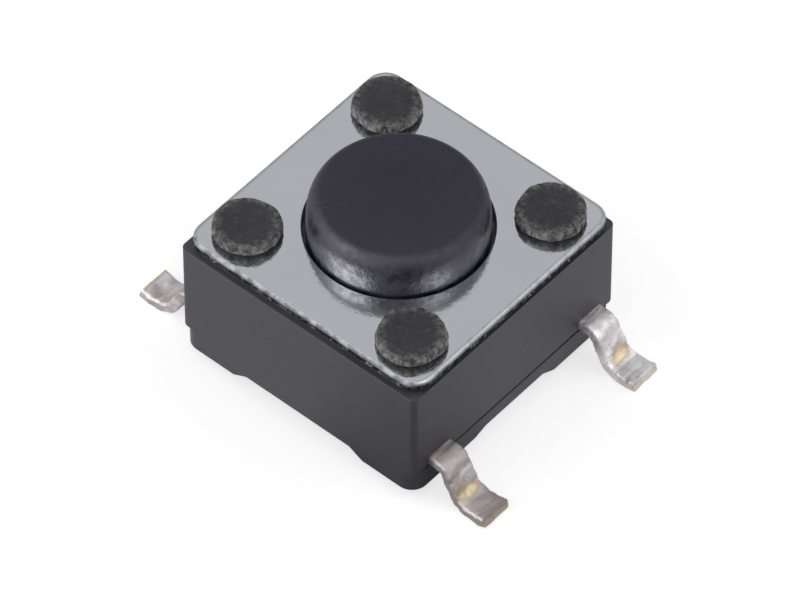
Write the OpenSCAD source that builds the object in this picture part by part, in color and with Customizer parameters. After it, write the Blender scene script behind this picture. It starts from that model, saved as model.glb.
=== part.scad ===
// Tactile push button switch, 6 x 6 mm, surface mount, four gull-wing leads.
// Units: millimetres. +Z is up, the leads point along +X and -X.
// Origin: centre of the switch, on the board plane under the soldering feet.

/* [Base moulding] */
// Side of the square base, along X and along Y
base_w = 6.0; // [5.6:0.05:6.6]
// Height of the base's outer rim above the board
base_rim_z = 3.12; // [2.6:0.02:3.6]
// Corner radius above the parting line
corner_r_upper = 0.14; // [0.05:0.01:0.5]
// Corner radius below the parting line
corner_r_lower = 0.36; // [0.1:0.02:0.8]
// Height of the parting line, level with the underside of the leads
parting_z = 0.79; // [0.5:0.01:1.2]
// Height of the witness groove along the parting line, on the two lead sides
groove_h = 0.06; // [0.02:0.01:0.15]
// Depth of the witness groove
groove_d = 0.06; // [0.02:0.01:0.15]
// Height of the plateau that carries the cover, above the outer rim
plateau_h = 0.055; // [0.02:0.005:0.2]
// Width of the step between the outer rim and the plateau
plateau_inset = 0.12; // [0.05:0.01:0.3]

/* [Standing feet of the base] */
// Gap between the board and the corner feet
foot_z = 0.26; // [0:0.01:0.4]
// Height of the corner feet
foot_h = 0.18; // [0.05:0.01:0.3]
// Length of a foot along X, measured from the base's side
foot_x = 1.50; // [0.8:0.05:2.4]
// Length along Y of the two feet on the -Y side
foot_y_short = 1.54; // [0.8:0.02:1.7]
// Length along Y of the two feet on the +Y side
foot_y_long = 1.98; // [0.8:0.05:2.4]
// Length along Y of the low step that continues the feet on the -Y side
foot_step_y = 0.44; // [0.2:0.02:0.9]
// Height of that step below the underside
foot_step_h = 0.10; // [0.02:0.01:0.12]
// Length of the ramp that ends a foot or a step
foot_ramp = 0.34; // [0.05:0.01:0.4]
// Diameter of the core-pin holes in the underside
core_pin_d = 0.50; // [0.3:0.05:1]
// Distance of the core-pin holes from the centre, along X
core_pin_x = 1.10; // [0.5:0.05:1.4]
// Distance of the core-pin holes from the centre, along Y
core_pin_y = 0.90; // [0.5:0.05:1.2]
// Depth of the core-pin holes
core_pin_depth = 0.22; // [0.05:0.01:0.35]
// Diameter of the round gate recess in the underside
gate_d = 1.10; // [0.6:0.05:2]
// Depth of the gate recess
gate_depth = 0.10; // [0.02:0.01:0.2]

/* [Well inside the base] */
// Clearance round the button's flange in the well
flange_clear = 0.12; // [0.04:0.01:0.2]
// Height of the well's floor above the board
floor_z = 1.09; // [0.9:0.01:1.4]
// Depth of the pocket that centres the dome
dome_pocket_h = 0.45; // [0.2:0.05:0.8]
// Radial clearance round the dome in its pocket
dome_clear = 0.05; // [0.02:0.01:0.1]

/* [Studs and their melted heads] */
// Distance from a stud's middle to the two nearest sides of the cover
stud_in = 0.88; // [0.75:0.01:0.95]
// Diameter of a stud where it passes through the cover
stud_d = 0.90; // [0.6:0.05:1.1]
// Diameter of a melted head
head_d = 1.40; // [1.1:0.02:1.6]
// Height of a melted head above the cover
head_h = 0.30; // [0.15:0.01:0.5]
// Roughness of a melted head's side and rim
head_rough = 0.022; // [0:0.002:0.05]

/* [Cover plate] */
// Width of the ledge that the base leaves round the square cover
cover_inset = 0.045; // [0.02:0.005:0.3]
// Thickness of the sheet steel
cover_t = 0.20; // [0.1:0.01:0.4]
// Corner radius of the cover
cover_r = 0.45; // [0.1:0.05:1]
// Radius of the top edge that the punch rolls over
cover_roll = 0.08; // [0.02:0.01:0.1]
// Clearance round the button in the cover's hole
button_clear = 0.08; // [0.05:0.01:0.2]
// Radial clearance of the stud holes
stud_clear = 0.04; // [0.02:0.01:0.1]

/* [Button] */
// Diameter of the button above the cover
button_d = 3.60; // [3.2:0.02:3.8]
// Height of the button's top above the board
button_top_z = 4.33; // [3.8:0.01:5]
// Radius of the button's rounded shoulder
button_round = 0.38; // [0.1:0.02:0.8]
// How much narrower the button is at the start of its shoulder, each side
button_draft = 0.01; // [0:0.01:0.1]
// Rise of the gently crowned top
button_crown = 0.03; // [0:0.01:0.1]
// Diameter of the flange that holds the button under the cover
flange_d = 4.26; // [4:0.02:4.4]
// Thickness of the flange
flange_t = 0.68; // [0.3:0.02:1]
// Gap between the flange and the cover when the button is up
flange_gap = 0.01; // [0:0.01:0.1]
// Diameter of the boss under the flange
boss_d = 2.20; // [1.5:0.05:3]
// Height of the boss under the flange
boss_h = 0.55; // [0.2:0.05:1]
// Diameter of the nub that presses the dome
nub_d = 1.20; // [0.6:0.05:2]
// Gap between the nub and the dome when the button is up
nub_gap = 0.01; // [0:0.01:0.05]

/* [Snap dome] */
// Diameter of the dome
dome_d = 3.96; // [3.5:0.02:4.2]
// Free height of the hollow under the dome
dome_rise = 0.30; // [0.15:0.01:0.5]
// Thickness of the dome
dome_t = 0.06; // [0.03:0.01:0.1]

/* [Contact frames and leads] */
// Thickness of the frame strip
strip_t = 0.22; // [0.1:0.01:0.3]
// Width of a lead
lead_w = 0.64; // [0.5:0.01:1]
// Distance between the two lead lines, along Y
lead_pitch = 4.50; // [4:0.05:5]
// Length of a lead beyond its lower bend
lead_foot_l = 0.48; // [0.3:0.02:1]
// Length of the flat part of a lead that rests on the board
lead_flat = 0.20; // [0.1:0.02:0.4]
// How far a lead runs straight out of the base before it bends
lead_out = 0.14; // [0.05:0.01:0.5]
// Slope of the sloping part of a lead, in degrees from level
lead_slope = 64; // [45:1:88]
// Slope of a lead's end, which turns up a little past the board, in degrees
lead_toe = 14; // [0:1:20]
// Radius of the upper bend of a lead, along the middle of the strip
lead_upper_r = 0.28; // [0.14:0.01:0.4]
// Radius of the lower bend of a lead, along the middle of the strip
lead_lower_r = 0.42; // [0.14:0.01:0.5]
// Width of the tongue to the centre contact
tongue_w = 0.60; // [0.4:0.05:1]
// Diameter of the centre disc
centre_disc_d = 1.30; // [0.9:0.05:1.6]
// Diameter of the raised centre contact
centre_contact_d = 0.80; // [0.5:0.05:1.1]
// Height of the centre contact above the well's floor
centre_contact_h = 0.05; // [0.02:0.01:0.1]
// How far the middle of a rim pad lies inside the dome's edge
pad_in = 0.22; // [0.1:0.01:0.4]
// Width of a rim-contact arm
arm_w = 0.46; // [0.3:0.02:0.7]
// Length of a rim pad along Y
rim_pad_l = 0.80; // [0.4:0.05:1.2]

/* [Hidden] */
$fn = 96;
// A small overlap that keeps joined or cut shapes clean
eps = 0.02;

half = base_w / 2;
under_z = foot_z + foot_h;
plateau_z = base_rim_z + plateau_h;
well_d = flange_d + 2 * flange_clear;
cover_w = base_w - 2 * cover_inset;
cover_hole_d = button_d + 2 * button_clear;
stud_xy = cover_w / 2 - stud_in;
cover_top_z = plateau_z + cover_t;
strip_z = parting_z;
strip_top_z = strip_z + strip_t;
lead_y = lead_pitch / 2;
arm_x = dome_d / 2 - pad_in;
dome_pocket_d = dome_d + 2 * dome_clear;
dome_top_z = floor_z + dome_rise + dome_t;
flange_top_z = plateau_z - flange_gap;
flange_z = flange_top_z - flange_t;
boss_z = flange_z - boss_h;
nub_z = dome_top_z + nub_gap;
stud_hole_d = stud_d + 2 * stud_clear;

// Sphere that the dome's hollow is part of, and the height of its centre
dome_in_r = (pow(dome_d / 2, 2) + pow(dome_rise, 2)) / (2 * dome_rise);
dome_centre_z = floor_z + dome_rise - dome_in_r;

// A lead's side profile: where its upper bend starts and where it reaches the board
lead_radii = lead_upper_r + lead_lower_r;
lead_slope_h = strip_z - lead_radii * (1 - cos(lead_slope));
lead_x0 = half + lead_out;
lead_x1 = lead_x0 + lead_radii * sin(lead_slope) + lead_slope_h / tan(lead_slope);
lead_tip = lead_x1 + lead_foot_l;

// Flat steps that make up one bend of a lead
bend_steps = 10;

// Melted heads: points round a head, then its rings from the underside to the middle of the
// top, each as a share of the radius, of the height and of the roughness
head_n = 44;
head_rings = [[0.84, 0, 0.5], [0.94, 0.18, 1], [1, 0.40, 1.1], [1, 0.60, 1], [0.97, 0.80, 1],
    [0.91, 0.93, 0.9], [0.82, 0.99, 0.6], [0.62, 0.98, 0.3], [0.36, 0.96, 0.2], [0.12, 0.95, 0.1]];
stud_at = [[-1, -1], [1, -1], [1, 1], [-1, 1]];

// ---------- shared flat shapes ----------

// Square with round corners, centred
module round_square(w, r) {
    square([w, w - 2 * r], center = true);
    square([w - 2 * r, w], center = true);
    for (x = [-1, 1], y = [-1, 1])
        translate([x * (w / 2 - r), y * (w / 2 - r)]) circle(r);
}

// ---------- base ----------

// Unevenness of a melted head: lumps that run round it plus a fine crumbly part
function head_lumps(a, s) = 0.45 * sin(3 * a + 71 * s) + 0.35 * sin(5 * a + 137 * s)
    + 0.25 * sin(9 * a + 29 * s);

// One ring of a head, at a share of its radius and height, with roughness out and up
function head_ring(r_share, z_share, rough, k, s) =
    let (n = rands(-1, 1, 2 * head_n, 1000 * s + 7 * k + 3))
    [for (j = [0:head_n - 1])
        let (a = 360 * j / head_n,
             r = r_share * head_d / 2 + rough * head_rough * (head_lumps(a, s) + 0.6 * n[j]))
        [r * cos(a), r * sin(a),
         z_share * head_h + (k == 0 ? 0 : 0.35 * rough * head_rough * n[head_n + j])]];

// Melted head of a stud: flat underside, steep rough side and a nearly flat top
module melted_head(s) {
    m = len(head_rings);
    rings = [for (k = [0:m - 1]) let (q = head_rings[k]) head_ring(q[0], q[1], q[2], k, s)];
    under = m * head_n;
    peak = under + 1;
    pts = concat([for (q = rings) each q], [[0, 0, 0], [0, 0, head_rings[m - 1][1] * head_h]]);
    faces = concat(
        [for (k = [0:m - 2], j = [0:head_n - 1])
            let (a = k * head_n + j, b = k * head_n + (j + 1) % head_n)
            [a, a + head_n, b]],
        [for (k = [0:m - 2], j = [0:head_n - 1])
            let (a = k * head_n + j, b = k * head_n + (j + 1) % head_n)
            [b, a + head_n, b + head_n]],
        [for (j = [0:head_n - 1]) [under, j, (j + 1) % head_n]],
        [for (j = [0:head_n - 1])
            [peak, (m - 1) * head_n + (j + 1) % head_n, (m - 1) * head_n + j]]);
    polyhedron(points = pts, faces = faces, convexity = 4);
}

// Side view of a foot that reaches a length in from the base's side and ends in a ramp
module foot_side(len, drop) {
    x = half - len;
    polygon([[x - foot_ramp / 2, eps], [x - foot_ramp / 2, 0], [x + foot_ramp / 2, -drop],
        [half + eps, -drop], [half + eps, eps]]);
}

// Foot that reaches a length along Y in from the corner at +X +Y, and down from the underside
module foot_block(len_y, drop) {
    translate([0, 0, under_z]) intersection() {
        translate([0, half + eps, 0]) rotate([90, 0, 0]) linear_extrude(half)
            foot_side(foot_x, drop);
        rotate([90, 0, 90]) linear_extrude(half + eps) foot_side(len_y, drop);
    }
}

// Base block: corner feet, lower part, grooved parting line, upper part and plateau
module base_block() {
    intersection() {
        translate([0, 0, foot_z]) linear_extrude(foot_h + eps)
            round_square(base_w, corner_r_lower);
        for (side = [0, 1]) mirror([side, 0, 0]) {
            foot_block(foot_y_long, foot_h);
            mirror([0, 1, 0]) {
                foot_block(foot_y_short, foot_h);
                foot_block(foot_y_short + foot_step_y, foot_step_h);
            }
        }
    }
    translate([0, 0, under_z]) linear_extrude(parting_z - under_z)
        round_square(base_w, corner_r_lower);
    translate([0, 0, parting_z]) linear_extrude(base_rim_z - parting_z)
        round_square(base_w, corner_r_upper);
    translate([0, 0, base_rim_z - eps]) linear_extrude(plateau_h + eps)
        round_square(base_w - 2 * plateau_inset, cover_r);
}

// Openings of the base: the well, the dome's pocket, the groove and the marks underneath
module base_openings() {
    translate([0, 0, floor_z]) cylinder(h = base_rim_z, d = dome_pocket_d);
    translate([0, 0, floor_z + dome_pocket_h]) cylinder(h = base_rim_z, d = well_d);
    for (x = [-1, 1])
        translate([x * half, 0, parting_z - groove_h / 2])
            cube([2 * groove_d, base_w + 1, groove_h], center = true);
    for (x = [-1, 1], y = [-1, 1])
        translate([x * core_pin_x, y * core_pin_y, under_z - eps])
            cylinder(h = core_pin_depth + eps, d = core_pin_d);
    translate([0, 0, under_z - eps]) cylinder(h = gate_depth + eps, d = gate_d);
}

module base() {
    color([0.20, 0.20, 0.22]) {
        difference() {
            base_block();
            base_openings();
            contact_frame_centre_solid();
            contact_frame_rim_solid();
        }
        for (i = [0:3]) translate([stud_at[i][0] * stud_xy, stud_at[i][1] * stud_xy, 0]) {
            translate([0, 0, plateau_z - eps])
                cylinder(h = cover_t + head_h * 0.5 + eps, d = stud_d);
            translate([0, 0, cover_top_z]) melted_head(i + 1);
        }
    }
}

// ---------- cover ----------

// Side profile of a sheet w wide, with its two upper edges rolled over
function rolled(w, t, roll) = concat(
    [[-w / 2, 0], [w / 2, 0]],
    [for (a = [0:15:90]) [w / 2 - roll * (1 - cos(a)), t - roll * (1 - sin(a))]],
    [for (a = [90:-15:0]) [-w / 2 + roll * (1 - cos(a)), t - roll * (1 - sin(a))]]);

// Square sheet with round corners and a rolled upper edge, centred
module rolled_sheet(w, r, t, roll) {
    for (turn = [0, 90]) rotate([90, 0, turn])
        linear_extrude(w - 2 * r, center = true) polygon(rolled(w, t, roll));
    for (x = [-1, 1], y = [-1, 1]) translate([x * (w / 2 - r), y * (w / 2 - r)])
        rotate_extrude() intersection() {
            polygon(rolled(2 * r, t, roll));
            square([r, t]);
        }
}

module cover() {
    color([0.68, 0.69, 0.70]) translate([0, 0, plateau_z]) difference() {
        rolled_sheet(cover_w, cover_r, cover_t, cover_roll);
        translate([0, 0, -eps]) cylinder(h = cover_t + 2 * eps, d = cover_hole_d);
        for (p = stud_at) translate([p[0] * stud_xy, p[1] * stud_xy, -eps])
            cylinder(h = cover_t + 2 * eps, d = stud_hole_d);
    }
}

// ---------- button ----------

// Half section of the button, from the nub up to the crowned top
module plunger_section() {
    r = button_d / 2;
    rs = r - button_draft;
    zs = button_top_z - button_crown - button_round;
    shoulder = [for (a = [0:6:90])
        [rs - button_round + button_round * cos(a), zs + button_round * sin(a)]];
    crown_r = rs - button_round;
    crown = [for (i = [1:8]) let (u = 1 - i / 10)
        [crown_r * u, button_top_z - button_crown * pow((u - 0.2) / 0.8, 2)]];
    polygon(concat(
        [[0, nub_z], [nub_d / 2 - 0.12, nub_z], [nub_d / 2 - 0.04, nub_z + 0.04],
         [nub_d / 2, nub_z + 0.12], [nub_d / 2, boss_z], [boss_d / 2 - 0.08, boss_z],
         [boss_d / 2, boss_z + 0.08], [boss_d / 2, flange_z], [flange_d / 2 - 0.08, flange_z],
         [flange_d / 2, flange_z + 0.08], [flange_d / 2, flange_top_z],
         [r, flange_top_z], [r, cover_top_z]],
        shoulder, crown, [[0, button_top_z]]));
}

module plunger() {
    color([0.18, 0.18, 0.21]) rotate_extrude($fn = 128) plunger_section();
}

// ---------- snap dome ----------

module snap_dome() {
    color([0.78, 0.78, 0.76]) intersection() {
        translate([0, 0, dome_centre_z]) difference() {
            sphere(dome_in_r + dome_t);
            sphere(dome_in_r);
        }
        translate([0, 0, floor_z - 0.1]) cylinder(h = 1, d = dome_d);
    }
}

// ---------- contact frames ----------

// Points along an arc, from angle a0 to angle a1
function arc(c, r, a0, a1) = [for (i = [0:bend_steps])
    let (a = a0 + (a1 - a0) * i / bend_steps) [c[0] + r * cos(a), c[1] + r * sin(a)]];

// End of a lead, which runs straight on from the bend that turns it up
function lead_end(o) =
    let (r = lead_lower_r - o, x = lead_x1 + lead_flat + r * sin(lead_toe),
         z = strip_t / 2 + lead_lower_r - r * cos(lead_toe))
    [lead_tip, z + (lead_tip - x) * tan(lead_toe)];

// Line along the lead at +X, at distance o above the middle of the strip
function lead_line(o) = concat(
    arc([lead_x0, strip_z + strip_t / 2 - lead_upper_r], lead_upper_r + o, 90, 90 - lead_slope),
    arc([lead_x1, strip_t / 2 + lead_lower_r], lead_lower_r - o,
        270 - lead_slope, 270),
    arc([lead_x1 + lead_flat, strip_t / 2 + lead_lower_r], lead_lower_r - o, 270, 270 + lead_toe),
    [lead_end(o)]);

function reversed(p) = [for (i = [len(p) - 1:-1:0]) p[i]];
function mirrored(p) = [for (q = p) [-q[0], q[1]]];

// Two opposite gull-wing leads on one line, with the bar that joins them through the base
module lead_pair(y) {
    upper = lead_line(strip_t / 2);
    lower = lead_line(-strip_t / 2);
    translate([0, y + lead_w / 2, 0]) rotate([90, 0, 0]) linear_extrude(lead_w)
        polygon(concat(reversed(mirrored(upper)), upper, reversed(lower), mirrored(lower)));
}

// Frame with the tongue and the raised centre contact
module contact_frame_centre_solid() {
    lead_pair(-lead_y);
    translate([-tongue_w / 2, -lead_y, strip_z]) cube([tongue_w, lead_y, strip_t]);
    translate([0, 0, strip_z]) cylinder(h = strip_t, d = centre_disc_d);
    translate([0, 0, strip_z]) cylinder(h = floor_z + centre_contact_h - strip_z, d = centre_contact_d);
}

// Frame with two arms and the two pads under the dome's rim
module contact_frame_rim_solid() {
    lead_pair(lead_y);
    for (x = [-1, 1]) {
        translate([x * arm_x - arm_w / 2, -rim_pad_l / 2, strip_z])
            cube([arm_w, lead_y + rim_pad_l / 2, strip_t]);
        translate([x * arm_x, 0, (strip_z + floor_z) / 2])
            cube([arm_w, rim_pad_l, floor_z - strip_z], center = true);
    }
}

module contact_frame_centre() {
    color([0.76, 0.74, 0.72]) contact_frame_centre_solid();
}

module contact_frame_rim() {
    color([0.76, 0.74, 0.72]) contact_frame_rim_solid();
}

base();
cover();
plunger();
snap_dome();
contact_frame_centre();
contact_frame_rim();
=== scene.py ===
import math
import random

import bmesh
import bpy
from mathutils import Matrix, Vector


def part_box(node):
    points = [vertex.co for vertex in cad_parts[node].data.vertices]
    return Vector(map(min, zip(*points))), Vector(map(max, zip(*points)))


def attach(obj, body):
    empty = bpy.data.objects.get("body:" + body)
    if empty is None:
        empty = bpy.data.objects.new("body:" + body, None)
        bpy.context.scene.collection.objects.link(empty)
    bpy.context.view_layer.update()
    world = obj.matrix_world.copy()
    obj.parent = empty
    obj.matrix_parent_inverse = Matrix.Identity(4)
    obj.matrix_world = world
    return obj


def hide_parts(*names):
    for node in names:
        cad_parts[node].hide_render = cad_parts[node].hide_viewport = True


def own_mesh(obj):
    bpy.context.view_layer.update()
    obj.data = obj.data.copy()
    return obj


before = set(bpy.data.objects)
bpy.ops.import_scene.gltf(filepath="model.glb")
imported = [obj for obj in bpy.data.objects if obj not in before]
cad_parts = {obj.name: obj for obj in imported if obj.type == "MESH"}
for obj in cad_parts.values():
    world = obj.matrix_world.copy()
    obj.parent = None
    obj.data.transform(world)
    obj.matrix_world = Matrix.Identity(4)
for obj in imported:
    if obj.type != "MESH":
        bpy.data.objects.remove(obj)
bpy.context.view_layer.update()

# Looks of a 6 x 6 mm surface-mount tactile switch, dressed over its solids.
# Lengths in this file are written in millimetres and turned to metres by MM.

MM = 0.001
base_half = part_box("base")[1].x / MM
cover_low, cover_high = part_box("cover")
cover_half = (cover_high.x - cover_low.x) / 2 / MM
cover_top = cover_high.z / MM
plateau = cover_low.z / MM
button_low, button_top = (corner.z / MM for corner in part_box("plunger"))

# ---------- sizes that the solids do not give by their boxes, in mm ----------

RIM_Z = 3.07                # outer rim of the base
RIM_EDGE = 0.005            # break of that rim's edge
PLATEAU_W = 5.76            # plateau under the cover
PLATEAU_EDGE = 0.01         # break of that plateau's edge
CORNER_UPPER = 0.14         # vertical corners of the base above its parting line, and below it
CORNER_LOWER = 0.36
PARTING_Z = 0.79
GROOVE = 0.06               # witness groove along the parting line, height and depth
GROOVE_EDGE = 0.004         # slant of its sides
UNDER_Z = 0.44              # underside between the feet
CORE_PIN_XY = (1.1, 0.9)    # core-pin marks in the underside, from the centre
CORE_PIN_D = 0.50
CORE_PIN_DEPTH = 0.22
GATE_D = 1.10               # gate recess in the middle of the underside
GATE_DEPTH = 0.10
WELL_D = 4.50
WELL_EDGE = 0.03            # break of the well's mouth
POCKET_D = 4.06             # pocket of the dome, at the bottom of the well
POCKET_H = 0.45
FLOOR_Z = 1.09              # floor of the well, on which the dome stands
FLOOR_SUNK = 0.004          # how far the moulding lies below that floor

STUD_XY = 2.075             # studs from the centre, along X and Y
STUD_D = 0.90               # stud where it passes through the cover
STUD_ROOT = 0.05            # root of a stud inside the plateau
HEAD_D = 1.42               # melted head, across
HEAD_H = 0.30               # melted head, above the cover
HEAD_GAP = 0.012            # seam between a head and the cover
HEAD_NECK = 0.84            # underside of a head, as a share of its radius
HEAD_SIDE = 0.80            # height of its side and of its rim, as shares of its height
HEAD_RIM = 0.97
HEAD_DISH = 0.03            # hollow in its top, as a share of its height
HEAD_ROUND = 0.09           # rounding of its upper rim
HEADS_APART = 0.06          # how much wider the heads are spaced along X

COVER_R = 0.45              # corner radius of the cover
COVER_ROLL = 0.08           # top edge of the cover, rolled over by the punch
COVER_BURR = 0.02           # break of the cover's lower edge and of its holes
COVER_HOLE_EDGE = 0.03      # rounding of its holes at the top
COVER_REACH = 0.05          # how much further it reaches towards +X
ROLLED = 0.84               # attribute "rough" at the end of the rolled edge; 1 is torn
# painted shade: the extra on the -Y side darkens the roll there to dim a highlight
FRONT_DULL_AND_SHADE = 0.45           # how much more of it the roll has on the -Y side
STUD_HOLE_GAP = 0.08        # how much wider than a stud its hole is
BUTTON_HOLE_D = 3.76

BUTTON_D = 3.63
BUTTON_ROUND = 0.31         # shoulder of the button, across, and along Z
BUTTON_ROUND_Z = 0.60
BUTTON_CROWN = 0.03
BUTTON_DRAFT = 0.01
FLANGE_D = 4.26
FLANGE_T = 0.68
FLANGE_GAP = 0.01           # under the cover
FLANGE_EDGE = 0.04          # rounding of the flange's upper edge
BOSS_D = 2.20
BOSS_H = 0.55
NUB_D = 1.20
NUB_EDGE = 0.10             # rounding of the nub's end
LOWER_EDGE = 0.08           # rounding of the boss and the flange below

LEAD_W = 0.67
STRIP_T = 0.25
STRIP_EDGE = 0.07           # rounding of the strip's sheared edges
STRIP_Z = 0.79              # underside of the strip where it leaves the base
LEAD_Y = 2.25               # lead lines from the centre
LEAD_ROOT = 0.06            # how far inside the base's side the hidden strip ends
LEAD_LAP = 0.10             # how much further in a swept lead starts
LEAD_OUT = 0.14             # straight part outside the base
LEAD_SLOPE = 64             # degrees
LEAD_FLAT = 0.20            # part that rests on the board
LEAD_TOE = 14               # degrees that the end turns up
LEAD_UPPER = 0.28           # radii of the two bends, along the middle of the strip
LEAD_LOWER = 0.42
LEAD_SHORT = 0.002          # how far a lead ends before its solid
LEFT_OUT = 0.09             # how much further out the two leads on the -X side stand
LEFT_FROM = 0.04            # how far outside the base that shift starts

# ---------- helpers ----------


def srgb(text):
    """Linear RGBA of an sRGB hex colour."""
    parts = [int(text[i:i + 2], 16) / 255 for i in (1, 3, 5)]
    return [p / 12.92 if p <= 0.04045 else ((p + 0.055) / 1.055) ** 2.4 for p in parts] + [1.0]


def feed(tree, node, inputs):
    """Gives sockets of a node their values, or links from the sockets that feed them."""
    for key, value in inputs.items():
        if isinstance(value, bpy.types.NodeSocket):
            tree.links.new(value, node.inputs[key])
        else:
            node.inputs[key].default_value = value


def add(tree, kind, inputs=None, **settings):
    """Adds a node with its settings and feeds its inputs."""
    node = tree.nodes.new(kind)
    for name, value in settings.items():
        setattr(node, name, value)
    feed(tree, node, inputs or {})
    return node


def arc(centre, radius, start, end, steps):
    """Points along an arc in a plane, angles in degrees."""
    turn = [math.radians(start + (end - start) * i / steps) for i in range(steps + 1)]
    return [(centre[0] + radius * math.cos(a), centre[1] + radius * math.sin(a)) for a in turn]


def quarter(steps, first=0):
    """Angles that divide a quarter turn."""
    return [math.radians(90 * i / steps) for i in range(first, steps + 1)]


def direction(azimuth, elevation):
    """Unit vector from angles in degrees. Azimuth 0 is in front (-Y), 90 is at +X."""
    a, e = math.radians(azimuth), math.radians(elevation)
    return Vector((math.sin(a) * math.cos(e), -math.cos(a) * math.cos(e), math.sin(e)))


def new_object(name, data):
    piece = bpy.data.objects.new(name, data)
    bpy.context.scene.collection.objects.link(piece)
    return piece


def smoothed(mesh, sharp):
    """Shades a mesh smooth but for edges sharper than an angle in degrees."""
    mesh.shade_smooth()
    mesh.set_sharp_from_angle(angle=math.radians(sharp))


def polyline(name, points):
    """Object that holds a line of (across, up) points in mm, laid in the XZ plane."""
    mesh = bpy.data.meshes.new(name)
    mesh.from_pydata([(x * MM, 0, z * MM) for x, z in points],
                     [(i, i + 1) for i in range(len(points) - 1)], [])
    return new_object(name, mesh)


def grown(piece, tree, values, sharp):
    """Runs a geometry tree with named inputs on a line, and turns it into the plain mesh."""
    modifier = piece.modifiers.new(tree.name, "NODES")
    modifier.node_group = tree
    for item in tree.interface.items_tree:
        if item.item_type == "SOCKET" and item.in_out == "INPUT" and item.name in values:
            modifier[item.identifier] = values[item.name]
    graph = bpy.context.evaluated_depsgraph_get()
    graph.update()
    mesh = bpy.data.meshes.new_from_object(piece.evaluated_get(graph))
    mesh.name = piece.name
    piece.modifiers.clear()
    piece.data = mesh
    smoothed(mesh, sharp)
    return piece


def solid_copy(node, name):
    """Joined copy of a CAD node's mesh, with its flat faces made whole."""
    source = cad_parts[node].data
    mesh = bpy.data.meshes.new(name)
    mesh.from_pydata([v.co[:] for v in source.vertices], [],
                     [p.vertices[:] for p in source.polygons])
    form = bmesh.new()
    form.from_mesh(mesh)
    bmesh.ops.remove_doubles(form, verts=form.verts, dist=2e-7)
    bmesh.ops.dissolve_limit(form, angle_limit=math.radians(0.4), verts=form.verts,
                             edges=form.edges)
    form.to_mesh(mesh)
    form.free()
    return new_object(name, mesh)


def cut_away(piece, point, normal):
    """Removes what lies on the side of a plane that its normal points to, and closes the cut."""
    form = bmesh.new()
    form.from_mesh(piece.data)
    result = bmesh.ops.bisect_plane(form, geom=form.verts[:] + form.edges[:] + form.faces[:],
                                    dist=1e-8, plane_co=point, plane_no=normal,
                                    clear_outer=True)
    rim = [g for g in result["geom_cut"] if isinstance(g, bmesh.types.BMEdge)]
    bmesh.ops.holes_fill(form, edges=rim, sides=0)
    form.to_mesh(piece.data)
    form.free()
    return piece


def joined(name, pieces):
    """One plain mesh out of several, with their materials kept."""
    form = bmesh.new()
    materials = []
    for piece in pieces:
        places = []
        for material in piece.data.materials:
            if material not in materials:
                materials.append(material)
            places.append(materials.index(material))
        count = len(form.faces)
        form.from_mesh(piece.data)
        form.faces.ensure_lookup_table()
        for face in form.faces[count:]:
            face.material_index = places[face.material_index] if places else 0
    mesh = bpy.data.meshes.new(name)
    form.to_mesh(mesh)
    form.free()
    for material in materials:
        mesh.materials.append(material)
    for piece in pieces:
        bpy.data.objects.remove(piece)
    return new_object(name, mesh)


def rounded(half, r, along=1, steps=12):
    """Outline of a square with round corners, as (x, y) points in mm, its sides cut in pieces."""
    c, points = half - r, []
    for k in range(4):
        s, t = math.sin(math.radians(90 * k)), math.cos(math.radians(90 * k))
        line = arc((c, c), r, 0, 90, steps)
        line += [(c - 2 * c * i / along, half) for i in range(1, along)]
        points += [(x * t - y * s, x * s + y * t) for x, y in line]
    return points


def circle(x, y, d, count=120):
    return arc((x, y), d / 2, 0, 360 - 360 / count, count - 1)


def skinned(form, rows):
    """Skin through closed outlines of equal count, given as (points, z) in mm."""
    rings = [[form.verts.new((x * MM, y * MM, z * MM)) for x, y in points] for points, z in rows]
    for upper, lower in zip(rings, rings[1:]):
        for i in range(len(upper)):
            j = (i + 1) % len(upper)
            form.faces.new((upper[i], lower[i], lower[j], upper[j]))
    return rings


def filled(form, rings):
    """Flat face between an outline and the holes in it."""
    edges = [form.edges.get((r[i], r[(i + 1) % len(r)])) for r in rings for i in range(len(r))]
    bmesh.ops.triangle_fill(form, use_beauty=True, edges=edges)


def finished(form, name, material, sharp):
    """Object out of a closed form, faces outwards."""
    bmesh.ops.recalc_face_normals(form, faces=form.faces)
    mesh = bpy.data.meshes.new(name)
    form.to_mesh(mesh)
    form.free()
    mesh.materials.append(material)
    smoothed(mesh, sharp)
    return new_object(name, mesh)


# ---------- nodes ----------


def maths(tree, operation, a, b=0.0):
    return add(tree, "ShaderNodeMath", {0: a, 1: b}, operation=operation).outputs[0]


def plus(tree, a, b):
    return maths(tree, "ADD", a, b)


def minus(tree, a, b):
    return maths(tree, "SUBTRACT", a, b)


def times(tree, a, b):
    return maths(tree, "MULTIPLY", a, b)


def ratio(tree, a, b):
    return maths(tree, "DIVIDE", a, b)


def axes_of(tree, vector):
    return add(tree, "ShaderNodeSeparateXYZ", {0: vector}).outputs


def scaled(tree, vector, factor):
    return add(tree, "ShaderNodeVectorMath", {0: vector, 3: factor}, operation="SCALE").outputs[0]


def spread(tree, value, low, high, to_low, to_high):
    """Stretches value from low..high to to_low..to_high, clamped."""
    return add(tree, "ShaderNodeMapRange", {
        "Value": value, "From Min": low, "From Max": high,
        "To Min": to_low, "To Max": to_high}).outputs[0]


def blend(tree, share, a, b):
    return add(tree, "ShaderNodeMix", {0: share, 2: a, 3: b}).outputs[0]


def blend_colour(tree, share, a, b):
    return add(tree, "ShaderNodeMix", {0: share, 6: a, 7: b}, data_type="RGBA").outputs[2]


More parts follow.
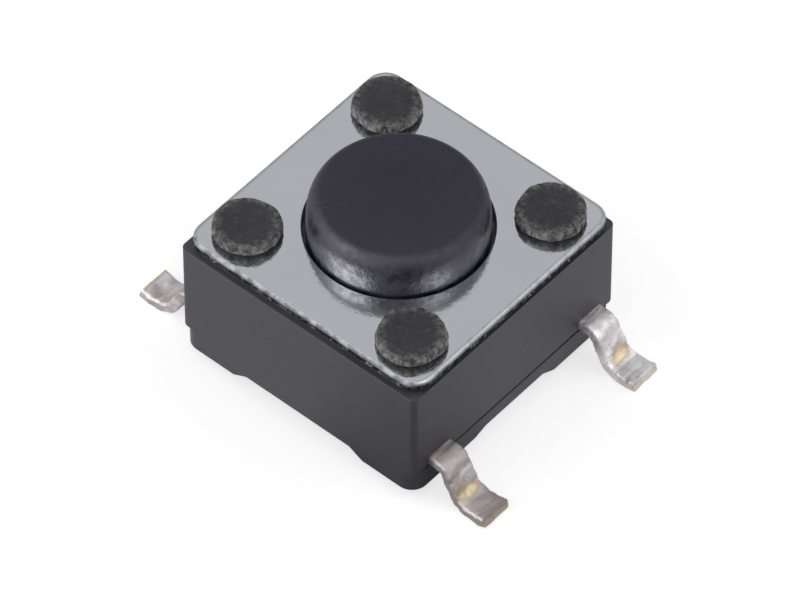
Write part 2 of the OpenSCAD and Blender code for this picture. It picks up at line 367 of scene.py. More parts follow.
def grain(tree, place, size_mm, detail=2.0, roughness=0.5, stretch=(1, 1, 1)):
    """Noise whose lumps are about size_mm across."""
    if stretch != (1, 1, 1):
        place = add(tree, "ShaderNodeMapping", {"Vector": place, "Scale": stretch}).outputs[0]
    return add(tree, "ShaderNodeTexNoise", {
        "Vector": place, "Scale": 0.5 / (size_mm * MM),
        "Detail": detail, "Roughness": roughness}).outputs["Fac"]


def raised(tree, height, depth_mm, under=None):
    """Bump of a given depth, on top of another bump."""
    inputs = {"Height": height, "Distance": depth_mm * MM, "Strength": 1.0}
    if under is not None:
        inputs["Normal"] = under
    return add(tree, "ShaderNodeBump", inputs).outputs[0]


def torn_mark(tree):
    """The attribute "rough" of a surface: 0 where it is whole, 1 where it is torn."""
    return add(tree, "ShaderNodeAttribute", attribute_name="rough").outputs["Fac"]


def blank_tree(owner):
    """Empty node tree of a material or a world."""
    owner.use_nodes = True
    owner.node_tree.nodes.clear()
    return owner.node_tree


def new_material(name):
    material = bpy.data.materials.new(name)
    tree = blank_tree(material)
    shader = add(tree, "ShaderNodeBsdfPrincipled")
    add(tree, "ShaderNodeOutputMaterial", {"Surface": shader.outputs[0]})
    place = add(tree, "ShaderNodeTexCoord").outputs["Object"]
    return material, tree, shader, place


# ---------- materials ----------


def moulded_nylon():
    # Base: glass-filled high-temperature nylon, injection moulded in a spark-eroded mould.
    # An even matt dark grey with a fine grain, faint cloudy flow marks and short pale fibres.
    material, tree, shader, place = new_material("glass_filled_nylon_moulded")
    cloud = grain(tree, place, 0.9, 3)
    fine = grain(tree, place, 0.035, 3, 0.6)
    fibre = spread(tree, grain(tree, place, 0.05, 1), 0.66, 0.74, 0, 1)
    colour = blend_colour(tree, spread(tree, cloud, 0.35, 0.65, 0, 1),
                          srgb("#27262c"), srgb("#2f2d35"))
    colour = blend_colour(tree, times(tree, fibre, 0.10), colour, srgb("#6c6c70"))
    feed(tree, shader, {"Base Color": colour, "IOR": 1.53,
                        "Roughness": spread(tree, cloud, 0.3, 0.7, 0.50, 0.58),
                        "Normal": raised(tree, fine, 0.004)})
    return material


def melted_nylon():
    # Stud heads: the same nylon, pressed flat by a hot punch, which leaves a dull dark top and a
    # crumbled rim, whitened by tearing. Its lowest part is painted dark olive: painted shade where
    # it meets the cover, which the mirror-like cover shows again as a painted reflection.
    material, tree, shader, place = new_material("glass_filled_nylon_hot_pressed")
    height = axes_of(tree, place)[2]
    # painted shade: the lowest part of each head, just above the cover, turns dark olive
    contact_shade = spread(tree, height, (cover_top + 0.03) * MM, (cover_top + 0.13) * MM, 0.95, 0)
    crumb = grain(tree, place, 0.06, 4, 0.65)
    crack = grain(tree, place, 0.045, 2, 0.5, (1, 1, 0.2))
    pale = times(tree, torn_mark(tree), spread(tree, crumb, 0.40, 0.62, 0.15, 1))
    pale = times(tree, pale, spread(tree, crack, 0.36, 0.48, 0.15, 1))
    fibre = spread(tree, grain(tree, place, 0.05, 2), 0.66, 0.74, 0, 0.5)
    smear = spread(tree, grain(tree, place, 0.35, 2), 0.40, 0.60, 0, 1)
    dark = blend_colour(tree, smear, srgb("#0e0d13"), srgb("#1b1a21"))
    colour = blend_colour(tree, pale, dark, srgb("#949190"))
    colour = blend_colour(tree, fibre, colour, srgb("#5c5c60"))
    # painted shade and painted reflection: dark olive at the foot of each head
    colour = blend_colour(tree, contact_shade, colour, srgb("#3c382f"))
    feed(tree, shader, {"Base Color": colour, "Roughness": 0.66, "IOR": 1.40,
                        "Normal": raised(tree, crumb, 0.014)})
    return material


def moulded_button():
    # Button: black nylon with a trace of blue pigment, injection moulded. The mould's
    # spark-eroded end leaves the top matt and nearly black, its drawn wall is smoother and gives
    # a broken satin sheen.
    material, tree, shader, place = new_material("nylon_spark_eroded_texture")
    height = axes_of(tree, place)[2]
    matt = spread(tree, height, (cover_top + 0.60) * MM, (cover_top + 0.96) * MM, 0, 1)
    # painted sparkle: pale specks on the matt top
    painted_sparkle = spread(tree, grain(tree, place, 0.04, 1), 0.68, 0.78, 0, 0.30)
    colour = blend_colour(tree, spread(tree, grain(tree, place, 0.8, 2), 0.35, 0.65, 0, 1),
                          srgb("#0d0722"), srgb("#110c21"))
    colour = blend_colour(tree, times(tree, painted_sparkle, matt), colour, srgb("#55555c"))
    satin = spread(tree, grain(tree, place, 0.09, 3), 0.40, 0.60, 0.28, 0.48)
    pits = times(tree, grain(tree, place, 0.06, 4, 0.65), spread(tree, matt, 0, 1, 1, 0.45))
    feed(tree, shader, {"Base Color": colour,
                        "Roughness": blend(tree, spread(tree, matt, 0, 1, 0, 0.75), satin, 0.86),
                        "IOR": spread(tree, matt, 0, 1, 1.58, 1.39),
                        "Normal": raised(tree, pits, 0.012)})
    return material


def rolled_steel():
    # Cover: bright cold-rolled stainless sheet, punched. A flat near-mirror with the faintest
    # waviness and rolling lines along X. Its rolled edge dulls to a grey satin, and below it the
    # sheet is torn and crumbly. Both are partly painted shade: the roll is darker still on the -Y
    # side, which dims a highlight there, and the torn edge is painted nearly black.
    material, tree, shader, place = new_material("stainless_sheet_bright_rolled")
    torn = torn_mark(tree)
    lines = grain(tree, place, 0.03, 2, 0.5, (0.04, 1, 1))
    crumb = grain(tree, place, 0.045, 3, 0.6)
    bright = blend_colour(tree, grain(tree, place, 1.2, 2), srgb("#b9bbc1"), srgb("#bfc1c6"))
    # painted shade: the torn edge is painted nearly black, with paler crumbs
    crumbs_and_shade = blend_colour(tree, spread(tree, crumb, 0.54, 0.66, 0, 1),
                          srgb("#18181a"), srgb("#76767a"))
    # the roll's dull colour: partly wear, partly painted shade that dims highlights, most on -Y
    dull = blend_colour(tree, spread(tree, torn, 0.85, 1.0, 0, 1), srgb("#505054"), crumbs_and_shade)
    wear_and_shade = spread(tree, grain(tree, place, 0.12, 3, 0.6), 0.42, 0.62, 0.85, 1.1)
    wear_and_shade = spread(tree, times(tree, torn, wear_and_shade), 0.1, 0.9, 0, 1)
    rough = plus(tree, spread(tree, lines, 0.3, 0.7, 0.08, 0.11),
                 spread(tree, torn, 0.1, ROLLED, 0.0, 0.60))
    wavy = raised(tree, lines, 0.0003, raised(tree, grain(tree, place, 1.6, 1), 0.004))
    uneven = times(tree, crumb, spread(tree, torn, ROLLED, 1.0, 0.15, 1.0))
    feed(tree, shader, {"Base Color": blend_colour(tree, wear_and_shade, bright, dull), "Metallic": 1.0,
                        "Roughness": rough, "Normal": raised(tree, uneven, 0.02, wavy)})
    return material


def plated_brass():
    # Leads: brass strip, silver plated, stamped and bent. Satin silver-white with scuffs and
    # random tarnish, and yellow brass where the plating thins in the hollow of the bend and at the
    # sheared tip; the paler middle of that brass is a painted highlight. Painted shade darkens them
    # at the foot and in the upper bend and most of all towards -Y.
    material, tree, shader, place = new_material("brass_silver_plated_stamped")
    x, y, z = axes_of(tree, place)
    out = maths(tree, "ABSOLUTE", x)
    across = minus(tree, maths(tree, "ABSOLUTE", y), LEAD_Y * MM)
    up = axes_of(tree, add(tree, "ShaderNodeNewGeometry").outputs["Normal"])[2]
    ragged = grain(tree, place, 0.11, 3, 0.6)

    def square(value, middle, size):
        share = ratio(tree, minus(tree, value, middle * MM), size * MM)
        return times(tree, share, share)

    bend = plus(tree, square(out, 3.77, 0.15), square(across, 0.03, 0.32))
    bend = plus(tree, bend, spread(tree, ragged, 0.3, 0.7, -0.45, 0.45))
    tip = plus(tree, out, times(tree, ragged, 0.08 * MM))
    thin = maths(tree, "MAXIMUM", spread(tree, bend, -0.2, 1.4, 1, 0),
                 spread(tree, tip, 4.43 * MM, 4.47 * MM, 0, 0.9))
    bare = times(tree, spread(tree, thin, 0.2, 0.8, 0, 1), spread(tree, up, 0.0, 0.4, 0, 1))
    corner = minus(tree, y, times(tree, x, 0.25))
    # painted shade: darker at the foot, most of all towards -Y
    foot = times(tree, spread(tree, z, 0.2 * MM, 0.5 * MM, 0.29, 0.14),
                 spread(tree, corner, -3 * MM, 0.6 * MM, 1.0, -0.2))
    # painted shade: darker in the upper bend, which dims a highlight there
    top = times(tree, spread(tree, z, 0.72 * MM, 0.94 * MM, 0.0, 0.28),
                spread(tree, corner, -3 * MM, 0.6 * MM, 1.0, 0.1))
    tarnish_and_shade = spread(tree, grain(tree, place, 0.25, 4, 0.65), 0.3, 0.7, 0.37, 0.63)
    # random tarnish plus the painted shade of the foot and the upper bend
    tarnish_and_shade = spread(tree, plus(tree, tarnish_and_shade, plus(tree, foot, top)), 0.38, 0.66, 0, 1)
    scuff = spread(tree, grain(tree, place, 0.03, 3, 0.6, (1, 0.3, 1)), 0.58, 0.70, 0, 0.6)
    # the brass is paler in the middle of its patch: a painted highlight
    yellow = blend_colour(tree, spread(tree, thin, 0.55, 0.95, 0, 1),
                          srgb("#8f8067"), srgb("#b9aa93"))
    colour = blend_colour(tree, tarnish_and_shade, srgb("#d3d1d4"), srgb("#908a89"))
    colour = blend_colour(tree, scuff, colour, srgb("#7d7674"))
    colour = blend_colour(tree, bare, colour, yellow)
    dents = raised(tree, grain(tree, place, 0.10, 2), 0.008)
    dents = raised(tree, grain(tree, place, 0.035, 3), 0.003, dents)
    feed(tree, shader, {"Base Color": colour, "Metallic": 1.0, "Normal": dents,
                        "Roughness": spread(tree, tarnish_and_shade, 0, 1, 0.54, 0.64)})
    return material


def spring_steel():
    # Snap dome: thin stainless spring steel, pressed. Bright with fine concentric drawing marks.
    material, tree, shader, place = new_material("spring_steel_pressed")
    flat = add(tree, "ShaderNodeMapping", {"Vector": place, "Scale": (1, 1, 0)}).outputs[0]
    radius = add(tree, "ShaderNodeVectorMath", {0: flat}, operation="LENGTH").outputs["Value"]
    rings = add(tree, "ShaderNodeTexNoise", {"W": radius, "Scale": 0.5 / (0.03 * MM)},
                noise_dimensions="1D").outputs["Fac"]
    feed(tree, shader, {"Base Color": srgb("#bdbdb8"), "Metallic": 1.0,
                        "Roughness": spread(tree, rings, 0.3, 0.7, 0.16, 0.26),
                        "Normal": raised(tree, rings, 0.0005)})
    return material


NYLON = moulded_nylon()
MELTED = melted_nylon()
BUTTON = moulded_button()
STEEL = rolled_steel()
BRASS = plated_brass()
SPRING = spring_steel()

# ---------- geometry trees ----------


def new_tree(name, inputs):
    """Geometry tree with a geometry in, named inputs and a geometry out. An input whose value is
    None here gets one at each use."""
    tree = bpy.data.node_groups.new(name, "GeometryNodeTree")
    tree.interface.new_socket("Geometry", in_out="INPUT", socket_type="NodeSocketGeometry")
    for label, kind, value in inputs:
        socket = tree.interface.new_socket(label, in_out="INPUT", socket_type="NodeSocket" + kind)
        if value is not None:
            socket.default_value = value
    tree.interface.new_socket("Geometry", in_out="OUTPUT", socket_type="NodeSocketGeometry")
    return tree, add(tree, "NodeGroupInput").outputs


def end_tree(tree, geometry, material=None):
    """Ends a tree, with a material on its geometry if one is given."""
    if material is not None:
        geometry = add(tree, "GeometryNodeSetMaterial", {
            "Geometry": geometry, "Material": material}).outputs[0]
    add(tree, "NodeGroupOutput", {0: geometry})
    return tree


def realized(tree, geometry):
    return add(tree, "GeometryNodeRealizeInstances", {0: geometry}).outputs[0]


def position(tree):
    return add(tree, "GeometryNodeInputPosition").outputs[0]


def point_mark(tree):
    """The attribute "rough" of the points."""
    return add(tree, "GeometryNodeInputNamedAttribute", {"Name": "rough"},
               data_type="FLOAT").outputs[0]


def along_normal(tree, height):
    """Offset of a given height along the normals."""
    return scaled(tree, add(tree, "GeometryNodeInputNormal").outputs[0], height)


def lumps(tree, size, height, seed, detail, roughness=0.6, level=0.5):
    """Height of lumps of about a given size, and of hollows where the noise is below a level."""
    noise = add(tree, "ShaderNodeTexNoise", {
        "W": seed, "Scale": ratio(tree, 0.5, size), "Detail": detail, "Roughness": roughness},
        noise_dimensions="4D").outputs["Fac"]
    return times(tree, minus(tree, noise, level), times(tree, height, 4.0))


def turning():
    """Turns a half section round the Z axis; its attribute "rough" is carried over."""
    tree, given = new_tree("turning", [("Segments", "Int", None)])
    section, segments = given[0], given["Segments"]
    count = add(tree, "GeometryNodeAttributeDomainSize", {0: section},
                component="MESH").outputs[0]
    sheet = add(tree, "GeometryNodeMeshGrid", {
        "Vertices X": plus(tree, segments, 1.0), "Vertices Y": count}).outputs[0]
    index = add(tree, "GeometryNodeInputIndex").outputs[0]
    column = maths(tree, "FLOOR", ratio(tree, index, count))
    row = minus(tree, index, times(tree, column, count))

    def sampled(value, kind):
        return add(tree, "GeometryNodeSampleIndex", {0: section, 1: value, 2: row},
                   data_type=kind).outputs[0]

    across, _, up = axes_of(tree, sampled(position(tree), "FLOAT_VECTOR"))
    angle = times(tree, ratio(tree, column, segments), math.tau)
    point = add(tree, "ShaderNodeCombineXYZ", {
        0: times(tree, across, maths(tree, "COSINE", angle)),
        1: times(tree, across, maths(tree, "SINE", angle)), 2: up}).outputs[0]
    marked = add(tree, "GeometryNodeStoreNamedAttribute", {
        "Geometry": sheet, "Name": "rough", "Value": sampled(point_mark(tree), "FLOAT")},
        data_type="FLOAT", domain="POINT").outputs[0]
    turned = add(tree, "GeometryNodeSetPosition", {
        "Geometry": marked, "Position": point}).outputs[0]
    return end_tree(tree, add(tree, "GeometryNodeMergeByDistance", {
        "Geometry": turned, "Distance": 1e-7}).outputs[0])


TURNING = turning()


def turned_by(tree, given):
    """The half section given to a tree, turned."""
    return add(tree, "GeometryNodeGroup", {0: given[0], 1: given["Segments"]},
               node_tree=TURNING).outputs[0]


def turned_piece():
    """A round piece turned from a half section."""
    tree, given = new_tree("turned_piece", [
        ("Segments", "Int", 192), ("Material", "Material", None)])
    return end_tree(tree, realized(tree, turned_by(tree, given)), given["Material"])


def stud_heads():
    """Melted heads turned from one section, stood on the four studs and crumbled at the rim."""
    tree, given = new_tree("stud_heads", [
        ("Segments", "Int", 168), ("Pitch X", "Float", (2 * STUD_XY + HEADS_APART) * MM),
        ("Pitch Y", "Float", 2 * STUD_XY * MM), ("Lump height", "Float", 0.028 * MM),
        ("Lump size", "Float", 0.30 * MM), ("Crumb height", "Float", 0.014 * MM),
        ("Crumb size", "Float", 0.05 * MM), ("Seed", "Float", 3.0),
        ("Material", "Material", None)])
    studs = add(tree, "GeometryNodeMeshGrid", {
        "Size X": given["Pitch X"], "Size Y": given["Pitch Y"],
        "Vertices X": 2, "Vertices Y": 2}).outputs[0]
    placed = add(tree, "GeometryNodeInstanceOnPoints", {
        "Points": studs, "Instance": turned_by(tree, given)}).outputs[0]
    height = plus(tree, lumps(tree, given["Lump size"], given["Lump height"], given["Seed"], 1.0),
                  lumps(tree, given["Crumb size"], given["Crumb height"],
                        plus(tree, given["Seed"], 7.0), 3.0))
    torn = add(tree, "GeometryNodeSetPosition", {
        "Geometry": realized(tree, placed),
        "Offset": along_normal(tree, times(tree, height, point_mark(tree)))}).outputs[0]
    return end_tree(tree, torn, given["Material"])


def bent_leads():
    """Two opposite leads: a rounded strip swept along one bent line, dented, its foot pressed
    wider, and its turned copy."""
    tree, given = new_tree("bent_leads", [
        ("Width", "Float", LEAD_W * MM), ("Thickness", "Float", STRIP_T * MM),
        ("Edge", "Float", STRIP_EDGE * MM), ("Line", "Float", None),
        ("Step", "Float", 0.02 * MM), ("Dent height", "Float", 0.02 * MM),
        ("Dent size", "Float", 0.10 * MM), ("Flare", "Float", 0.12), ("Seed", "Float", None),
        ("Material", "Material", None)])
    path = add(tree, "GeometryNodeMeshToCurve", {0: given[0]}).outputs[0]
    path = add(tree, "GeometryNodeResampleCurve", {"Curve": path, "Length": given["Step"]},
               mode="LENGTH").outputs[0]
    section = add(tree, "GeometryNodeCurvePrimitiveQuadrilateral", {
        "Width": given["Width"], "Height": given["Thickness"]}, mode="RECTANGLE").outputs[0]
    section = add(tree, "GeometryNodeFilletCurve", {
        "Curve": section, "Count": 4, "Radius": given["Edge"]}, mode="POLY").outputs[0]
    section = add(tree, "GeometryNodeSubdivideCurve", {"Curve": section, "Cuts": 5}).outputs[0]
    strip = add(tree, "GeometryNodeCurveToMesh", {
        "Curve": path, "Profile Curve": section, "Fill Caps": True}).outputs[0]
    pair = add(tree, "GeometryNodeJoinGeometry")
    offset = add(tree, "ShaderNodeCombineXYZ", {1: given["Line"]}).outputs[0]
    for turn in (0.0, math.pi):
        side = add(tree, "GeometryNodeTransform", {
            "Geometry": strip, "Translation": offset, "Rotation": (0.0, 0.0, turn)}).outputs[0]
        tree.links.new(side, pair.inputs[0])
    dents = lumps(tree, given["Dent size"], given["Dent height"], given["Seed"], 3.0, 0.55, 0.54)
    x, y, _ = axes_of(tree, position(tree))
    flare = spread(tree, maths(tree, "ABSOLUTE", x), 3.4 * MM, 4.2 * MM, 0.0, given["Flare"])
    aside = times(tree, minus(tree, y, given["Line"]), flare)
    moved = add(tree, "ShaderNodeVectorMath", {
        0: along_normal(tree, dents),
        1: add(tree, "ShaderNodeCombineXYZ", {1: aside}).outputs[0]}, operation="ADD").outputs[0]
    dented = add(tree, "GeometryNodeSetPosition", {
        "Geometry": realized(tree, pair.outputs[0]), "Offset": moved}).outputs[0]
    return end_tree(tree, dented, given["Material"])


# ---------- pieces ----------


def make_base():
    """Moulded base with broken edges, without its studs, which the heads' piece carries."""
    half, p = base_half, PLATEAU_W / 2
    upper, lower = rounded(half, CORNER_UPPER, 2), rounded(half, CORNER_LOWER, 2)
    pillow = rounded(p, COVER_R, 2)

    def grooved(points):
        return [(max(GROOVE - half, min(half - GROOVE, x)), y) for x, y in points]

    rows = [(rounded(p - PLATEAU_EDGE, COVER_R - PLATEAU_EDGE, 2), plateau),
            (pillow, plateau - PLATEAU_EDGE), (pillow, RIM_Z)]
    for a in quarter(5):
        inset = RIM_EDGE * (1 - math.sin(a))
        rows.append((rounded(half - inset, CORNER_UPPER - inset, 2),
                     RIM_Z - RIM_EDGE * (1 - math.cos(a))))
    top, low = PARTING_Z + GROOVE / 2, PARTING_Z - GROOVE / 2
    rows += [(upper, top), (grooved(upper), top - GROOVE_EDGE),
             (grooved(upper), PARTING_Z + GROOVE_EDGE), (grooved(lower), PARTING_Z - GROOVE_EDGE),
             (grooved(lower), low + GROOVE_EDGE), (lower, low), (lower, UNDER_Z)]
    form = bmesh.new()
    outside = skinned(form, rows)
    step = FLOOR_Z + POCKET_H
    well = skinned(form, [(circle(0, 0, d), z) for d, z in (
        (WELL_D + 2 * WELL_EDGE, plateau), (WELL_D, plateau - WELL_EDGE), (WELL_D, step),
        (POCKET_D + 0.04, step - 0.005), (POCKET_D, step - WELL_EDGE),
        (POCKET_D, FLOOR_Z - FLOOR_SUNK))])
    x, y = CORE_PIN_XY
    marks = [(x, y, CORE_PIN_D, CORE_PIN_DEPTH), (-x, y, CORE_PIN_D, CORE_PIN_DEPTH),
             (-x, -y, CORE_PIN_D, CORE_PIN_DEPTH), (x, -y, CORE_PIN_D, CORE_PIN_DEPTH),
             (0, 0, GATE_D, GATE_DEPTH)]
    marks = [skinned(form, [(circle(x, y, d, 32), z) for z in (UNDER_Z, UNDER_Z + depth)])
             for x, y, d, depth in marks]
    filled(form, [outside[0], well[0]])
    filled(form, [outside[-1]] + [mark[0] for mark in marks])
    for ring in [well[-1]] + [mark[1] for mark in marks]:
        form.faces.new(ring)
    block = finished(form, "block", NYLON, 30)
    feet = cut_away(solid_copy("base", "feet"), (0, 0, (UNDER_Z - 0.001) * MM), (0, 0, 1))
    feet.data.materials.append(NYLON)
    return joined("base_moulding", [block, feet])


def make_heads():
    """The four studs with their melted heads, from a half section of (across, up, rough)."""
    r, s, top = HEAD_D / 2, STUD_D / 2, cover_top + HEAD_H * HEAD_RIM
    seam = cover_top + HEAD_GAP
    root = plateau - STUD_ROOT
    stud = [(0, root, 0), (s, root, 0), (s, cover_top - 0.01, 0), (s, seam, 0)]
    under = [(s + (r * HEAD_NECK - s) * i / 5, seam, 0.3 * i / 5) for i in range(1, 6)]
    swell = 1 - HEAD_NECK
    side = [(r * (HEAD_NECK + swell * math.sin(math.pi * 0.5 * min(1, u * 2.0)) - 0.05 * u * u),
             seam + (HEAD_H * HEAD_SIDE - HEAD_GAP) * u, 1) for u in (i / 14 for i in range(1, 15))]
    x, z, _ = side[-1]
    rim = [(x - HEAD_ROUND + HEAD_ROUND * math.cos(a), z + (top - z) * math.sin(a),
            1 - 0.4 * math.sin(a)) for a in quarter(10, 1)]
    x = rim[-1][0]
    dish = [(x * (1 - i / 14), top - HEAD_H * HEAD_DISH * math.sin(math.pi / 2 * i / 14),
             max(0.08, 0.5 - i * 0.14)) for i in range(1, 15)]
    section = stud + under + side + rim + dish
    line = polyline("melted_heads", [(x, z) for x, z, _ in section])
    marks = line.data.attributes.new("rough", "FLOAT", "POINT")
    marks.data.foreach_set("value", [mark for _, _, mark in section])
    return grown(line, stud_heads(), {"Material": MELTED}, 70)


def make_button():
    """Button, turned from its half section."""
    r, top = BUTTON_D / 2, button_top
    flange_top = plateau - FLANGE_GAP
    flange = flange_top - FLANGE_T
    boss = flange - BOSS_H
    neck, shoulder = r - BUTTON_DRAFT, top - BUTTON_CROWN - BUTTON_ROUND_Z

    def edge(x, z, radius, start, steps):
        """Rounded edge of a step whose corner is at (x, z)."""
        side = 1 if start < 0 else -1
        return arc((x - radius, z + side * radius), radius, start, start + 90, steps)

    section = [(0, button_low)] + edge(NUB_D / 2, button_low, NUB_EDGE, -90, 6)
    section += [(NUB_D / 2, boss), (BOSS_D / 2 - LOWER_EDGE, boss)]
    section += edge(BOSS_D / 2, boss, LOWER_EDGE, -90, 5)
    section += [(BOSS_D / 2, flange), (FLANGE_D / 2 - LOWER_EDGE, flange)]
    section += edge(FLANGE_D / 2, flange, LOWER_EDGE, -90, 5)
    section += edge(FLANGE_D / 2, flange_top, FLANGE_EDGE, 0, 4)
    section += [(r, flange_top), (r, cover_top - 0.05), (r - 0.002, cover_top)]
    section += [(neck + (r - neck) * (1 - i / 6) ** 2,
                 cover_top + (shoulder - cover_top) * i / 6) for i in range(1, 6)]
    section += [(neck - BUTTON_ROUND * (1 - math.cos(a)), shoulder + math.sin(a) * BUTTON_ROUND_Z)
                for a in quarter(28)]
    section += [((neck - BUTTON_ROUND) * u, top - BUTTON_CROWN * max(0, (u - 0.2) / 0.8) ** 2)
                for u in (1 - i / 14 for i in range(1, 14))] + [(0, top)]
    return grown(polyline("push_button", section), turned_piece(), {"Material": BUTTON}, 35)


def make_cover():
    """Punched cover: the outline and the holes follow one edge section each, as (inset, up,
    tear). The attribute "rough" is 0 on its flat, up to ROLLED where the outline is rolled over
    and dulled, and 1 where it is torn below. The colour follows it: the dulled roll, darker still
    on the -Y side, and the near-black torn edge are partly painted shade."""
    top, low = cover_top, plateau
    chance = random.Random(5)

    def outline(inset, torn):
        return [((x + (COVER_REACH if x > 0 else 0)) * (1 + torn * chance.uniform(-1, 1)),
                 y * (1 + torn * chance.uniform(-1, 1)))
                for x, y in rounded(cover_half - inset, COVER_R - inset, 90)]

    def ring(x, y, d):
        return lambda inset, torn: circle(x, y, d + 2 * inset)

    def rolled_over(radius, steps):
        return [(radius * (1 - math.sin(a)), top - radius * (1 - math.cos(a)), 0)
                for a in quarter(steps)]

    def mark(i, front):
        """Attribute "rough" on ring i. On the -Y side it starts lower and rises faster."""
        if i > len(rolled):
            return 1.0
        dulled = 0.36 + 0.05 * i if i else 0.0
        # painted shade: on the -Y side the mark rises further, which darkens the roll there
        return min(ROLLED, dulled + (FRONT_DULL_AND_SHADE if front else 0.0) * (min(i, 4) - 2) / 2)

    rolled = rolled_over(COVER_ROLL, 8)
    tear = [(0.006, top - COVER_ROLL - 0.012, 0.0015), (0.010, low + 0.055, 0.004),
            (0.008, low + 0.028, 0.005), (0.012, low + 0.010, 0.004)]
    outer = [(COVER_ROLL + 0.03, top, 0)] + rolled + tear + [(0.03, low, 0), (0.06, low, 0)]
    burr = [(COVER_BURR * (1 - math.cos(a)), low + COVER_BURR * (1 - math.sin(a)), 0)
            for a in quarter(3)]
    inner = [(COVER_HOLE_EDGE + 0.02, top, 0)] + rolled_over(COVER_HOLE_EDGE, 4)
    inner += burr + [(COVER_BURR + 0.03, low, 0)]
    shapes = [(outline, outer), (ring(0, 0, BUTTON_HOLE_D), inner)]
    shapes += [(ring(x * STUD_XY, y * STUD_XY, STUD_D + STUD_HOLE_GAP), inner)
               for x in (-1, 1) for y in (-1, 1)]
    form = bmesh.new()
    rough = form.verts.layers.float.new("rough")
    walls = [skinned(form, [(shape(inset, torn), z) for inset, z, torn in section])
             for shape, section in shapes]
    for i, row in enumerate(walls[0]):
        for vert in row:
            vert[rough] = mark(i, -vert.co.y > abs(vert.co.x))
    filled(form, [wall[0] for wall in walls])
    filled(form, [wall[-1] for wall in walls])
    return finished(form, "cover_plate", STEEL, 35)


def make_frame(node, name, line):
    """Contact frame: its two leads, swept, and the strip that stays hidden in the base."""
    root, half_t = base_half - LEAD_ROOT, STRIP_T / 2
    slope, toe = math.radians(LEAD_SLOPE), math.radians(LEAD_TOE)
    x0, middle = base_half + LEAD_OUT, STRIP_Z + half_t
    radii = LEAD_UPPER + LEAD_LOWER
    x1 = x0 + radii * math.sin(slope) + (STRIP_Z - radii * (1 - math.cos(slope))) / math.tan(slope)
    lower = half_t + LEAD_LOWER
    points = [(root - LEAD_LAP, middle), (root, middle)]
    points += arc((x0, middle - LEAD_UPPER), LEAD_UPPER, 90, 90 - LEAD_SLOPE, 14)
    points += arc((x1, lower), LEAD_LOWER, 270 - LEAD_SLOPE, 270, 14)
    points += arc((x1 + LEAD_FLAT, lower), LEAD_LOWER, 270, 270 + LEAD_TOE, 4)
    x, z = points[-1]
    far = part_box(node)[1].x / MM - x - half_t * math.sin(toe) - LEAD_SHORT
    points.append((x + far, z + far * math.tan(toe)))
    leads = grown(polyline(name, points), LEADS, {
        "Line": line * MM, "Seed": 2.0 + line, "Material": BRASS}, 50)
    for vert in leads.data.vertices:
        if vert.co.x < -(base_half + LEFT_FROM) * MM:
            vert.co.x -= LEFT_OUT * MM
        vert.co.z = max(vert.co.z, 0)
    inside = solid_copy(node, name + "_inside")
    for side in (-1, 1):
        cut_away(inside, (side * root * MM, 0, 0), (side, 0, 0))
    inside.data.materials.append(BRASS)
    return joined(name, [leads, inside])


def make_dome():
    """Snap dome, as its solid."""
    piece = solid_copy("snap_dome", "snap_dome_disc")
    piece.data.materials.append(SPRING)
    smoothed(piece.data, 40)
    return piece


LEADS = bent_leads()
base = make_base()
heads = make_heads()
button = make_button()
cover = make_cover()
frame_centre = make_frame("contact_frame_centre", "contact_strip_centre", -LEAD_Y)
frame_rim = make_frame("contact_frame_rim", "contact_strip_rim", LEAD_Y)
dome = make_dome()

# What the base carries sits a hair off its centre.
for piece, x, y in ((heads, 0.005, 0.02), (button, 0.018, -0.002), (cover, 0, 0.02),
                    (frame_centre, 0.015, 0.01), (frame_rim, 0.015, 0.01)):
    piece.data.transform(Matrix.Translation((x * MM, y * MM, 0)))
for piece, body, slot, node in (
        (base, "housing", "base_plastic", "base"), (heads, "housing", "base_plastic", "base"),
        (cover, "housing", "cover_steel", "cover"), (button, "button", "button_plastic", "plunger"),
        (frame_centre, "housing", "plated_brass", "contact_frame_centre"),
        (frame_rim, "housing", "plated_brass", "contact_frame_rim"),
        (dome, "housing", "dome_steel", "snap_dome")):
    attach(piece, body)
    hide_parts(node)
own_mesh(dome)

# ---------- floor, light and camera ----------

FLOOR_HALF = 500                    # mm
FLOOR_AHEAD = (0.654, -0.756, 0.0)  # along the floor, to below the camera
FLOOR_GLOW = 0.64
SKY_FILL = 0.38                     # the sky as the pieces' matt surfaces receive it
SKY_SIDES, SKY_TOP = 1.0, 1.5       # the sky as it is seen and mirrored, all round and overhead

CAMERA_TURN = 40.868                # azimuth and elevation, degrees
CAMERA_RISE = 49.931
CAMERA_AWAY = 164.0                 # mm
CAMERA_AIM_Z = 2.02                 # height it aims at, mm, and the shift of that aim
CAMERA_RIGHT = 0.036
CAMERA_DOWN = 0.5815
LAMP_AIM_Z = 2                      # mm
LAMP_ZERO = 40.9                    # azimuth that those of the lamps are counted from

# name, azimuth and elevation in degrees, distance and size in mm, radiance, for gloss only
LAMPS = (("side_left", -82, 30, 90, (110, 80), 1.05, False),
         ("side_right", 90, 30, 90, (110, 80), 1.0, False),
         ("sheen_left", -62, 37, 88, (44, 62), 17.0, True),
         ("sheen_right", 46, 46, 88, (30, 50), 9.0, True))


def seen_ray(tree):
    """1 for what the camera sees, directly, in gloss or through glass."""
    path = add(tree, "ShaderNodeLightPath").outputs
    total = plus(tree, path["Is Camera Ray"], path["Is Glossy Ray"])
    return add(tree, "ShaderNodeMath", {0: total, 1: path["Is Transmission Ray"]},
               operation="ADD", use_clamp=True).outputs[0]


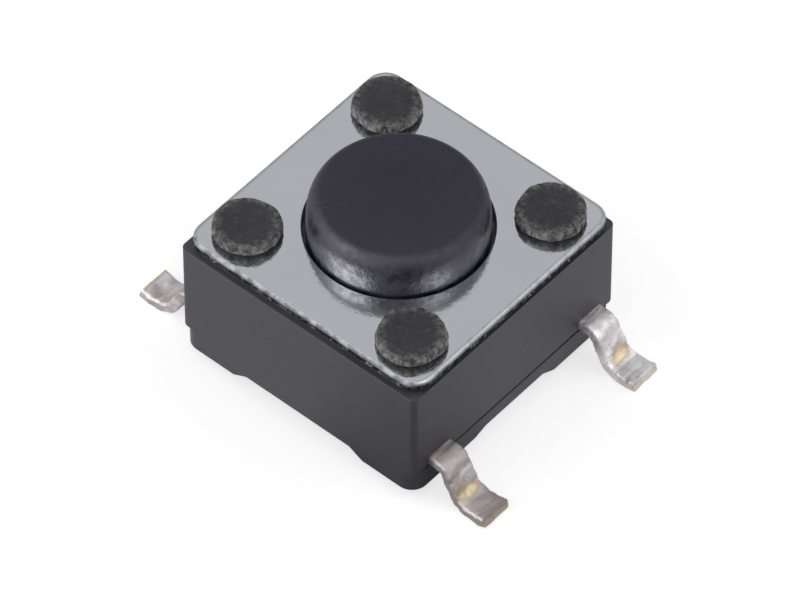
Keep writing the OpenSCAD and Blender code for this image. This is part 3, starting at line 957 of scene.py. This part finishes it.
def make_floor():
    """Floor of matt white paper. A little light of its own towards the camera keeps it white
    but for the shadow."""
    mesh = bpy.data.meshes.new("floor")
    w = FLOOR_HALF * MM
    mesh.from_pydata([(-w, -w, 0), (w, -w, 0), (w, w, 0), (-w, w, 0)], [], [(0, 1, 2, 3)])
    floor = new_object("floor", mesh)
    material = bpy.data.materials.new("floor_paper")
    tree = blank_tree(material)
    way = add(tree, "ShaderNodeVectorMath", {0: add(tree, "ShaderNodeTexCoord").outputs["Object"]},
              operation="NORMALIZE").outputs[0]
    ahead = add(tree, "ShaderNodeVectorMath", {0: way, 1: FLOOR_AHEAD},
                operation="DOT_PRODUCT").outputs["Value"]
    shade = spread(tree, ahead, 0.72, 0.99, 1.0, 0.0)
    view = add(tree, "ShaderNodeLightPath").outputs["Is Camera Ray"]
    glow = times(tree, seen_ray(tree), maths(tree, "MAXIMUM", view, shade))
    glow = add(tree, "ShaderNodeEmission", {"Strength": times(tree, glow, FLOOR_GLOW)}).outputs[0]
    paper = add(tree, "ShaderNodeBsdfDiffuse", {"Color": srgb("#e6e6e6")}).outputs[0]
    both = add(tree, "ShaderNodeAddShader", {0: paper, 1: glow}).outputs[0]
    add(tree, "ShaderNodeOutputMaterial", {"Surface": both})
    mesh.materials.append(material)


def make_world():
    """Even studio sky, which shows brighter overhead."""
    world = bpy.data.worlds.new("studio")
    tree = blank_tree(world)
    height = axes_of(tree, add(tree, "ShaderNodeTexCoord").outputs["Generated"])[2]
    overhead = spread(tree, height, 0.80, 0.95, SKY_SIDES, SKY_TOP)
    sky = add(tree, "ShaderNodeBackground", {
        "Strength": blend(tree, seen_ray(tree), SKY_FILL, overhead)}).outputs[0]
    add(tree, "ShaderNodeOutputWorld", {"Surface": sky})
    bpy.context.scene.world = world


def soft_box(name, azimuth, elevation, distance, size, radiance, gloss_only):
    """Area light that faces the switch."""
    light = bpy.data.lights.new(name, "AREA")
    light.shape, light.size, light.size_y = "RECTANGLE", size[0] * MM, size[1] * MM
    light.energy = radiance * math.pi * light.size * light.size_y
    lamp = new_object(name, light)
    back = direction(LAMP_ZERO + azimuth, elevation)
    lamp.location = Vector((0, 0, LAMP_AIM_Z * MM)) + back * distance * MM
    lamp.rotation_euler = back.to_track_quat("Z", "Y").to_euler()
    lamp.visible_diffuse = not gloss_only


def make_camera():
    """Camera with a long lens, in front to the right and well above."""
    data = bpy.data.cameras.new("camera")
    data.sensor_width, data.lens = 36.0, 378.48
    data.clip_start, data.clip_end = 0.01, 5.0
    camera = new_object("camera", data)
    turn = math.radians(CAMERA_TURN)
    back = direction(CAMERA_TURN, CAMERA_RISE)
    right = Vector((math.cos(turn), math.sin(turn), 0))
    up = back.cross(right)
    aim = Vector((0, 0, CAMERA_AIM_Z * MM)) - up * CAMERA_DOWN * MM + right * CAMERA_RIGHT * MM
    camera.location = aim + back * CAMERA_AWAY * MM
    camera.rotation_euler = Matrix((right, up, back)).transposed().to_euler()
    bpy.context.scene.camera = camera


make_floor()
make_world()
for lamp in LAMPS:
    soft_box(*lamp)
make_camera()
bpy.context.scene.view_settings.view_transform = "Standard"
